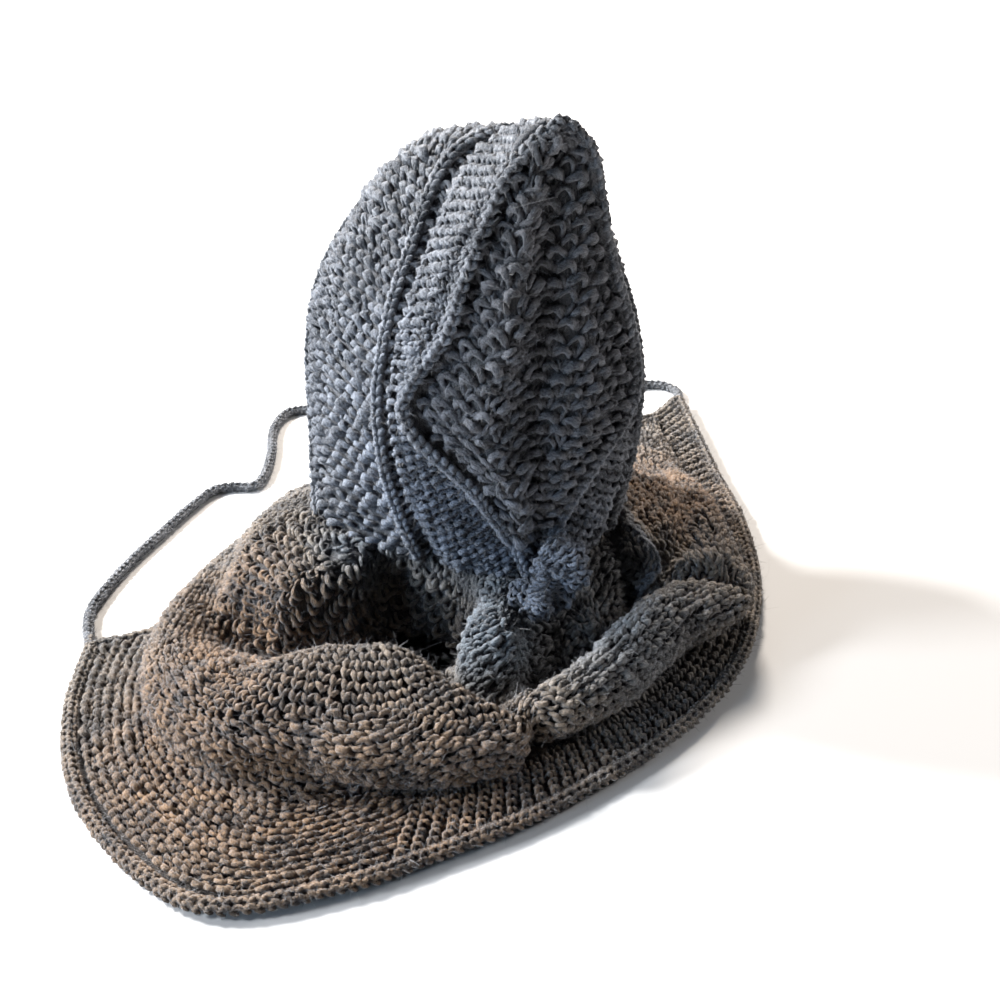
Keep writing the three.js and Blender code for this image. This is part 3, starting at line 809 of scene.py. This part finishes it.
def make_tie(name, route):
    """A tie with stitches over its upper side."""
    points = np.array([(x, y, TIE_HEIGHT) for x, y in route])
    positions = np.linspace(0, len(points) - 1, 24 * len(points))
    line = resample(weights(len(points), positions) @ points, 1.3)
    piece = tube(name + "_knit", line, TIE_RADIUS, MAIN, [name], columns=4, pitch=4.6, depth=1.3, sides=14)
    yarn = Yarn()
    chain(yarn, line, UPWARD, (-1.7, -0.57, 0.57, 1.7), offset=2.2, pitch=5.6, width=4.0, radius=1.1)
    stitches = yarn.make(name + "_stitches", MAIN, [name])
    path = [tuple(p) for p in place(line[::3])]
    path.append(tuple(place(line[-1])))


make_tie("tie_left", LEFT_TIE)
make_tie("tie_right", RIGHT_TIE)

# Hood

STEPS_V = np.linspace(-1, 1, 501)


def wedge_lift(u, v, points):
    """The wedge dips beside the seam ridge."""
    return -9.0 * bell(u, 2.19, 0.17)


def leaf_lift(across, up, points):
    """The leaf is sunk down its middle and at its left rim, with a raised fold between."""
    fold = 6.0 * bell(across, -0.40, 0.17)
    middle = 14.0 * bell(across, 0.06, 0.28) * np.sin(np.pi * up) ** 0.7
    return fold - middle - 5.0 * bell(across, -0.88, 0.10)


band = Cloth(hood_at, np.linspace(0, 2, 81), STEPS_V, 2, 0)
wedge = Cloth(wedge_at, np.linspace(2, 4, 81), STEPS_V, 2, 0, tilt=0.75, lift=wedge_lift)
leaf = Cloth(leaf_inside, np.linspace(-1, 1, 81), np.linspace(0, 1, 301), 0, 0, lift=leaf_lift)


def hood_ridge(name, node_name, cloth, u, radius, angles, width, thick=1.45, raised=0.0):
    """A round core and chains of stitches along one u of the hood, from base to base."""
    v = np.linspace(-0.995, 0.995, 700)
    line, outward = cloth.at(np.full(len(v), float(u)), v)
    line = line + outward * raised * smooth(0, 0.12, np.abs(v))[:, None]
    core = tube(name + "_core", resample(line, 3.0), radius * 0.72, MAIN, [node_name])
    yarn = Yarn()
    chain(yarn, line, outward, angles, offset=radius * 0.62, pitch=6.8, width=width, radius=thick)
    return [core, yarn.make(name + "_strands", MAIN, [node_name])]


BAND_SPLIT, BAND_LOW = 0.12, -0.72  # v between the halves, and of looser stitches at the left base
band_cells = band.rows(*BAND_STITCH)
carried = hood_ridge("face_border", "hood_face_border", band, 0, BORDER_RADIUS, FOUR_CHAINS, width=5.4)
carried += hood_ridge("seam_ridge", "hood_seam_ridge", band, 2, RIDGE_RADIUS, TWO_CHAINS, width=5.4,
                      thick=1.9, raised=1.5)
left, low = band_cells.b < BAND_SPLIT, band_cells.b < BAND_LOW
for name, part in (("moss_strands_left", left), ("moss_strands_right", ~left)):
    yarn = Yarn()
    yarn.seed(band_cells.only(part & ~low), *BAND_STITCH, 2.0, lift=3.4, open_share=0.6)
    yarn.seed(band_cells.only(part & low), *BAND_STITCH, 2.1, lift=4.0, open_share=1.0)
    carried.append(yarn.make(name, MAIN, ["hood_moss_band"]))
wall("moss_band_cloth", band, np.linspace(0, 2, 31), np.linspace(-1, 1, 121), MAIN, ["hood_moss_band"],
     sink=2.2)

GARTER_END, RIM_COLUMNS = 3.7, (3.76, 3.88)  # u where the garter rows end, and of the columns beyond
yarn = Yarn()
wedge_cells = wedge.rows(*WEDGE_STITCH)
yarn.garter(wedge_cells.only(wedge_cells.a < GARTER_END), *WEDGE_STITCH, 2.0, lift=2.5)
yarn.knit(wedge.columns(RIM_COLUMNS, 6.4, -0.97, 0.97), 5.6, 7.2, 1.5, lift=1.4)
carried = [yarn.make("wedge_strands", MAIN, ["hood_wedge_panel"])]
wall("wedge_cloth", wedge, np.linspace(2, 4, 25), np.linspace(-1, 1, 121), MAIN, ["hood_wedge_panel"])

yarn = Yarn()
yarn.seed(leaf.rows(*LEAF_PLACE), *LEAF_STITCH, 2.3, lift=3.0, open_share=0.15)
carried = hood_ridge("leaf_ridge", "hood_gusset_ridge", wedge, 4, RIDGE_RADIUS, TWO_CHAINS, width=6.0,
                     thick=2.2, raised=3.5)
carried.append(yarn.make("leaf_strands", SHADE_PAINTED_WOOL, ["hood_back_gusset"], fuzz=1.8))
wall("leaf_cloth", leaf, np.linspace(-1, 1, 31), np.linspace(0, 1, 71), SHADE_PAINTED_WOOL, ["hood_back_gusset"])

# Cape

# Dents and swellings of the cape in plan: line from x y to x y, reach, rise
CAPE_FORMS = (
    (75, -91, 30, -128, 7, -13), (30, -128, -30, -166, 8, -13),
    (76, -95, 132, -108, 7, -11), (74, -80, 128, -90, 6, 5),
    (-46, -168, -78, -132, 8, -8), (-46, -130, -50, -148, 19, 13),
    (-92, -48, -60, -82, 18, -26), (-16, -124, -12, -150, 6, 3.5),
    (2, -118, 6, -146, 5, -4), (24, -112, 34, -140, 8, 3),
    (78, -38, 74, -90, 7, 6), (92, -36, 89, -86, 8, -7),
    (60, -50, 62, -92, 6, -5), (-150, -145, -190, -160, 26, 5),
    (-118, -158, -84, -186, 14, 5), (-84, -160, -24, -222, 8, -11),
    (-204, -182, -176, -196, 10, -4), (-150, -212, -104, -206, 12, 3),
    (-196, -18, -160, -50, 13, 9), (-160, -50, -118, -44, 12, 9),
    (-118, -44, -98, -8, 10, 4), (-134, -8, -98, -48, 8, 10),
    (-204, -54, -168, -84, 9, -8), (-168, -84, -122, -84, 10, -8),
    (-122, -84, -88, -46, 12, -9), (-226, -110, -180, -98, 6, -4),
    (-226, -132, -196, -120, 8, 3.5), (128, -36, 110, -78, 8, 3),
    (138, -8, 118, -66, 7, -3),
)
# The big fold: u over which it begins and ends; groove under it and overhang of its edge
FOLD_BEGINS, FOLD_ENDS = (4.0, 5.0), (6.7, 7.6)
GROOVE_DEPTH, GROOVE_T, GROOVE_REACH = 10, 4.9, 0.35
OVERHANG, OVERHANG_T, OVERHANG_REACH = 13, 4.4, 0.42


def cape_lift(u, t, points):
    """Slow waves, the dents and swellings, and under the big fold a groove that its edge overhangs."""
    total = waviness(points, 80, 1.2, 9)
    for x0, y0, x1, y1, reach, rise in CAPE_FORMS:
        start, way = np.array([x0, y0]), np.array([x1 - x0, y1 - y0])
        off = points[..., :2] - start
        k = np.clip(off @ way / (way @ way), 0, 1)
        distance = np.linalg.norm(off - k[..., None] * way, axis=-1)
        total = total + rise * bell(distance, 0, reach)
    fold = smooth(*FOLD_BEGINS, u) * (1 - smooth(*FOLD_ENDS, u))
    groove = np.clip((u - 3.8) / 1.5, 0, 1) * np.clip((10 - u) / 2, 0, 1)
    groove = GROOVE_DEPTH * groove * bell(t, GROOVE_T + 0.3 * fold, GROOVE_REACH - 0.05 * fold)
    overhang = OVERHANG * fold * bell(t, OVERHANG_T, OVERHANG_REACH)
    return total * np.clip(t / 0.8, 0, 1) * np.clip((5.2 - t) / 0.7, 0, 1) - groove + overhang


def between(values, low, high):
    """Where values lie between low and high."""
    return (values > low) & (values < high)


cape = Cloth(cape_at, np.linspace(0, CAPE_LAST, 601), np.linspace(0, HEM, 181), 6.5, HEM, side=-1,
             lift=cape_lift)
RIB_START_U, RIB_START_T, RIB_END_T = 5.4, 5.15, 6.86
FRONT_EDGE = 0.12  # u that the border takes up at each front edge
# Kinds of knitting on the cape: u and t
KNOBBLY_U, KNOBBLY_END = (1.5, 5.6), 2.2
PLAIN_U, PLAIN_T = (3, 7.2), (2.3, 3.7)
GARTER_START = 5.3

body = cape.rows(*CAPE_STITCH, even=True)
ribbed = (body.a > RIB_START_U) & (body.b > RIB_START_T)
body = body.only(~ribbed & (body.b < RIB_END_T) & between(body.a, FRONT_EDGE, CAPE_LAST - FRONT_EDGE))
CAPE_PARTS = (
    ("cape_strands_left_front", 0, 3.4), ("cape_strands_left", 3.4, 6), ("cape_strands_back", 6, 9.4),
    ("cape_strands_right", 9.4, CAPE_LAST),
)
for name, u_from, u_to in CAPE_PARTS:
    yarn = Yarn()
    part = body.only((body.a >= u_from) & (body.a < u_to))
    knobbly = (part.b < KNOBBLY_END) & between(part.a, *KNOBBLY_U)
    plain = between(part.b, *PLAIN_T) & between(part.a, *PLAIN_U)
    garter = part.b > GARTER_START
    yarn.seed(part.only(knobbly), *CAPE_STITCH, 1.85, lift=2.6, open_share=0.3)
    yarn.knit(part.only(plain), 7.8, 9.2, 2.0, lift=2.0)
    yarn.garter(part.only(garter), *CAPE_STITCH, 2.0, lift=2.6)
    yarn.purl(part.only(~knobbly & ~plain & ~garter), *CAPE_STITCH, 1.9, lift=2.3)
    yarn.make(name, WARM_LIGHT_PAINTED_WOOL, ["cape_body"])

rib_u = np.linspace(RIB_START_U, CAPE_LAST - 0.15, 900)
rib_travel = run_length(cape_at(rib_u, HEM))
rib_places = np.interp(np.arange(RIB_PITCH / 2, rib_travel[-1], RIB_PITCH), rib_travel, rib_u)
ribs = cape.columns(rib_places, RIB_HEIGHT, RIB_START_T, RIB_END_T)
valleys = cape.columns((rib_places[1:] + rib_places[:-1]) / 2, RIB_HEIGHT, RIB_START_T, RIB_END_T)
yarn = Yarn()
yarn.knit(ribs, 6.2, 7.6, 1.8, lift=3.6)
yarn.add(valleys, LOOP, 2.8, 1.4, 0.5, 1.2, sink=1.8)
rib_strands = yarn.make("rib_strands", WARM_LIGHT_PAINTED_WOOL, ["cape_rib_band"])

# Ridge of the folded edge beside the nape, on the right
steps = np.linspace(0, 5, 120)
flap_u = np.interp(steps, range(6), (12.15, 11.53, 11.05, 10.80, 10.72, 10.45))
flap_t = np.interp(steps, range(6), (0.10, 0.38, 0.65, 1.02, 1.38, 1.85))
flap_line, flap_out = cape.at(flap_u, flap_t)
yarn = Yarn()
flap_line = flap_line + flap_out * 2.5
chain(yarn, flap_line, flap_out, (-0.7, 0.7), offset=2.0, pitch=6.6, width=5.2, radius=1.8)
yarn.make("fold_edge_strands", (MAIN[0], "wool_warm"), ["cape_body"])

# Round border of the front edges and the hem, with a few stitches onto each tie
BORDER_START = 0.35  # t at the upper end of the front edges
JOIN_HEIGHT, JOIN_END = 6.5, 1.35  # height at the corner, and end past the tie's first point
left_front = cape_at(0, np.linspace(BORDER_START, HEM, 200))
hem_line = cape_at(np.linspace(0, CAPE_LAST, 1200), HEM)
right_front = cape_at(CAPE_LAST, np.linspace(HEM, BORDER_START, 200))
border_line = np.concatenate([left_front, hem_line[1:], right_front[1:]]) - UPWARD
core = tube("edge_border_core", resample(border_line, 3.0), BORDER_RADIUS * 0.75, EDGE, ["cape_edge_border"])
yarn = Yarn()
chain(yarn, border_line, UPWARD, (-1.5, -0.5, 0.5, 1.5), offset=BORDER_RADIUS * 0.66, pitch=6.6, width=5.8,
      radius=1.6)
for corner, route in ((hem_line[0], LEFT_TIE), (hem_line[-1], RIGHT_TIE)):
    ends = np.array([(*corner[:2], JOIN_HEIGHT), (*route[0], TIE_HEIGHT), (*route[1], TIE_HEIGHT)])
    join_line = weights(3, np.linspace(0, JOIN_END, 60)) @ ends
    chain(yarn, join_line, UPWARD, FOUR_CHAINS, offset=2.0, pitch=5.2, width=4.8, radius=1.5)
border_strands = yarn.make("edge_border_strands", EDGE, ["cape_edge_border"])
wall("rib_band_cloth", cape, np.linspace(0, CAPE_LAST, 201), np.linspace(BAND, HEM, 9), WARM_LIGHT_PAINTED_WOOL,
     ["cape_rib_band"])

# Collar: the top of the cape turned up inside the hood's lower edge
COLLAR_START, COLLAR_FOOT, COLLAR_TOP = 1.95, -3, 16
collar_base = cape_at(np.linspace(COLLAR_START, CAPE_LAST - COLLAR_START, 160), 0)[:, None]
collar_out = unit(collar_base * np.array([1, 1, 0]) + np.array([10, 10, 0]))
rise = np.linspace(COLLAR_FOOT, COLLAR_TOP, 8)[:, None]
collar = collar_base - collar_out * (2.5 + 0.35 * rise) + UPWARD * rise
smooth_piece("collar", collar, WARM_LIGHT_PAINTED_WOOL, ["cape_body"], flip=True)

# Nape gather: x, y, z, wide, deep
NAPE = np.array([
    (3, -102, 100, 7, 6), (8, -107, 94, 13, 11), (11, -109, 84, 16, 14),
    (4, -112, 74, 11, 9), (-9, -116, 66, 14, 11), (-18, -120, 60, 9, 7),
])


def nape_at(turn, p):
    """Points of the gather at a turn round it and a place p along NAPE, pinched unevenly."""
    turn, p = np.broadcast_arrays(np.asarray(turn, float), np.asarray(p, float))
    rows = weights(len(NAPE), p) @ NAPE
    ahead = weights(len(NAPE), p + 0.05) @ NAPE - weights(len(NAPE), p - 0.05) @ NAPE
    along = unit(ahead[..., :3])
    side = unit(np.array([1.0, 0, 0]) - along * along[..., :1])
    out = np.cross(along, side)
    pinch = 0.90 + 0.26 * np.cos(3 * turn + 1.9 * p) + 0.16 * np.cos(4.1 * p + 2 * turn)
    pinch = pinch - 0.10 * np.cos(7 * p)
    return (rows[..., :3] + side * (rows[..., 3] * pinch * np.cos(turn))[..., None]
            + out * (rows[..., 4] * pinch * np.sin(turn))[..., None])


NAPE_LAST = len(NAPE) - 1
nape = Cloth(nape_at, np.linspace(0, 2 * np.pi, 61), np.linspace(0.02, NAPE_LAST - 0.02, 41), 0, 0)
yarn = Yarn()
yarn.garter(nape.rows(*NAPE_STITCH, even=True), *NAPE_STITCH, 1.7, lift=1.6)
yarn.make("nape_strands", MAIN, ["nape_gather"])
nape_grid = nape_at(np.linspace(0, 2 * np.pi, 41)[:, None], np.linspace(0, NAPE_LAST, 31))
smooth_piece("nape_core", nape_grid, MAIN, ["nape_gather"])

wall("cape_cloth", cape, np.linspace(0, CAPE_LAST, 221), np.linspace(0, BAND, 61), WARM_LIGHT_PAINTED_WOOL, ["cape_body"])

# Stray wool fibres


def make_fibres(name, count, pieces, mean_length, longest, stand, width):
    """Thin curved ribbons of one or more pieces that stand off the strands."""
    roots, outs = [], []
    sizes = np.array([len(points) * share for points, _, _, share in FIBRE_ROOTS], float)
    shares = (sizes / sizes.sum() * count).astype(int)
    for (points, outward, chance_of, _), wanted in zip(FIBRE_ROOTS, shares):
        chosen = rng.choice(len(points), wanted, p=(chance_of + 0.01) / (chance_of + 0.01).sum())
        roots.append(points[chosen])
        outs.append(outward[chosen])
    roots, outs = np.concatenate(roots), np.concatenate(outs)
    total = len(roots)
    length = rng.gamma(3.0, mean_length / 3, total).clip(0.8, longest)
    direction = unit(rng.normal(size=(total, 3)) + outs * stand)
    bend = unit(rng.normal(size=(total, 3)))
    width_way = unit(np.cross(direction, bend))
    k = np.linspace(0, 1, pieces + 1)
    spine = (roots[:, None] - outs[:, None] * 0.3 + direction[:, None] * (length[:, None] * k)[:, :, None]
             + bend[:, None] * (0.5 * length[:, None] * k**2)[:, :, None])
    spine[:, :, 2] = np.maximum(spine[:, :, 2], 0.4)
    half = (width / 2 * (1 - 0.6 * k))[None, :, None] * width_way[:, None]
    points = np.stack([spine - half, spine + half], 2).reshape(-1, 3)
    base = (np.arange(total) * 2 * (pieces + 1))[:, None] + 2 * np.arange(pieces)[None, :]
    quads = np.stack([base, base + 1, base + 3, base + 2], 2).reshape(-1, 4)
    build(name, points, quads, np.zeros((len(points), 2)), np.ones(len(points)), FIBRE, [])


FIBRE = plain_material("stray_fibre", (0.20, 0.20, 0.21), 0.7), "wool"
fewer = 1
make_fibres("wool_fuzz", 88000 // fewer, pieces=1, mean_length=2.8, longest=6.0, stand=1.0, width=0.19)
make_fibres("wool_fibres", 6000 // fewer, pieces=5, mean_length=8, longest=24, stand=0.5, width=0.11)

# Floor and light

FLOOR_HALF = 4000
floor_mesh = bpy.data.meshes.new("floor")
corners = [(x * FLOOR_HALF, y * FLOOR_HALF, 0) for x, y in ((-1, -1), (1, -1), (1, 1), (-1, 1))]
floor_mesh.from_pydata([tuple(p) for p in place(corners)], [], [(0, 1, 2, 3)])
floor = bpy.data.objects.new("floor", floor_mesh)
bpy.context.scene.collection.objects.link(floor)
floor_mesh.materials.append(plain_material("floor_paint", (0.40, 0.40, 0.405), 0.9))


def area_light(name, location, target, size, power, colour):
    """A round lamp, with its size in metres and its power in watts."""
    data = bpy.data.lights.new(name, "AREA")
    data.shape = "DISK"
    data.size = size
    data.energy = power
    data.color = colour
    lamp = bpy.data.objects.new(name, data)
    lamp.location = location
    lamp.rotation_euler = (Vector(target) - lamp.location).to_track_quat("-Z", "Y").to_euler()
    bpy.context.scene.collection.objects.link(lamp)


area_light("key", (-3.4, 2.2, 2.9), (0, 0, -0.15), 1.1, 1060, (1.0, 0.985, 0.96))
area_light("key_left", (-4.0, -0.1, 2.0), (0, 0, -0.10), 0.9, 300, (0.92, 0.96, 1.0))
area_light("cool_fill", (-3.4, -1.9, 0.8), (0, 0, -0.15), 1.2, 90, (0.62, 0.80, 1.0))
area_light("warm_back", (0.9, 3.8, 3.1), (0, 0, -0.15), 1.4, 600, (1.0, 0.90, 0.79))
area_light("side", (3.8, 0.1, 1.7), (0, 0, -0.10), 1.2, 120, (1.0, 0.97, 0.95))

world = bpy.data.worlds.new("studio")
bpy.context.scene.world = world
world.use_nodes = True
set_inputs(world.node_tree.nodes["Background"], Color=(0.86, 0.92, 1.0, 1), Strength=0.03)
bpy.context.scene.view_settings.view_transform = "Standard"
